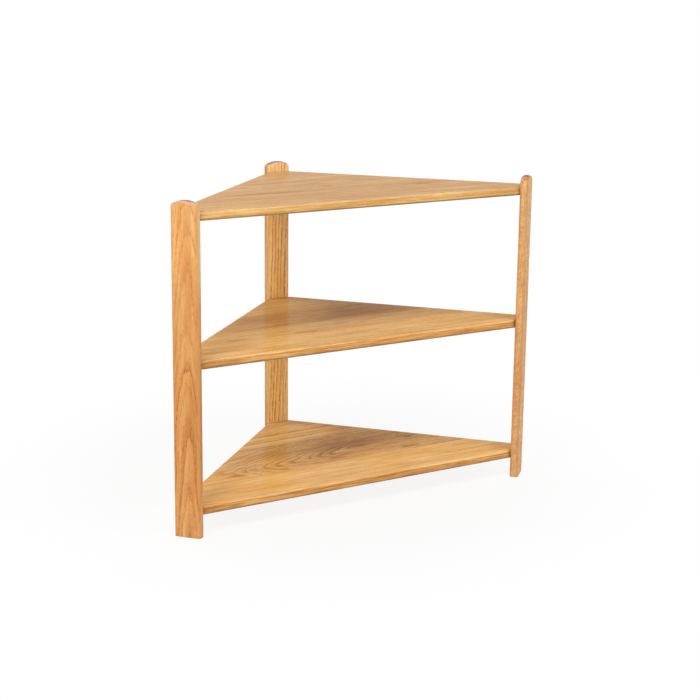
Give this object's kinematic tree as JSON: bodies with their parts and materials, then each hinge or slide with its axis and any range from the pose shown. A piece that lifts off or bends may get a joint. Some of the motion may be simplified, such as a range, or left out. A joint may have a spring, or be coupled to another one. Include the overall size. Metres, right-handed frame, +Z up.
{
  "type": "corner shelf unit",
  "caption": "Open corner shelf in solid oak: triangular shelves with square-cut corners, butted and doweled between flat crowned posts.",
  "frame": {"origin": "on the floor, under the middle of the unit's bounds", "axes": "+Z up, +X along the front edge of the shelves to the right as seen from the room, +Y back towards the room's corner"},
  "size_m": [0.849, 0.4586, 0.686],
  "materials": {
    "post_oak": "clear satin lacquer over solid oak, grain running up the board",
    "shelf_oak": "clear satin lacquer over edge-glued oak boards, grain along the front edge",
    "dowel_beech": "raw fluted beech"
  },
  "bodies": {
    "root": {"left_post": "post_oak", "right_post": "post_oak", "back_post": "post_oak", "bottom_shelf": "shelf_oak", "middle_shelf": "shelf_oak", "top_shelf": "shelf_oak", "dowel_bottom_left_a": "dowel_beech", "dowel_bottom_left_b": "dowel_beech", "dowel_middle_left_a": "dowel_beech", "dowel_middle_left_b": "dowel_beech", "dowel_top_left_a": "dowel_beech", "dowel_top_left_b": "dowel_beech", "dowel_bottom_right_a": "dowel_beech", "dowel_bottom_right_b": "dowel_beech", "dowel_middle_right_a": "dowel_beech", "dowel_middle_right_b": "dowel_beech", "dowel_top_right_a": "dowel_beech", "dowel_top_right_b": "dowel_beech", "dowel_bottom_back_a": "dowel_beech", "dowel_bottom_back_b": "dowel_beech", "dowel_middle_back_a": "dowel_beech", "dowel_middle_back_b": "dowel_beech", "dowel_top_back_a": "dowel_beech", "dowel_top_back_b": "dowel_beech"}
  },
  "joints": []
}
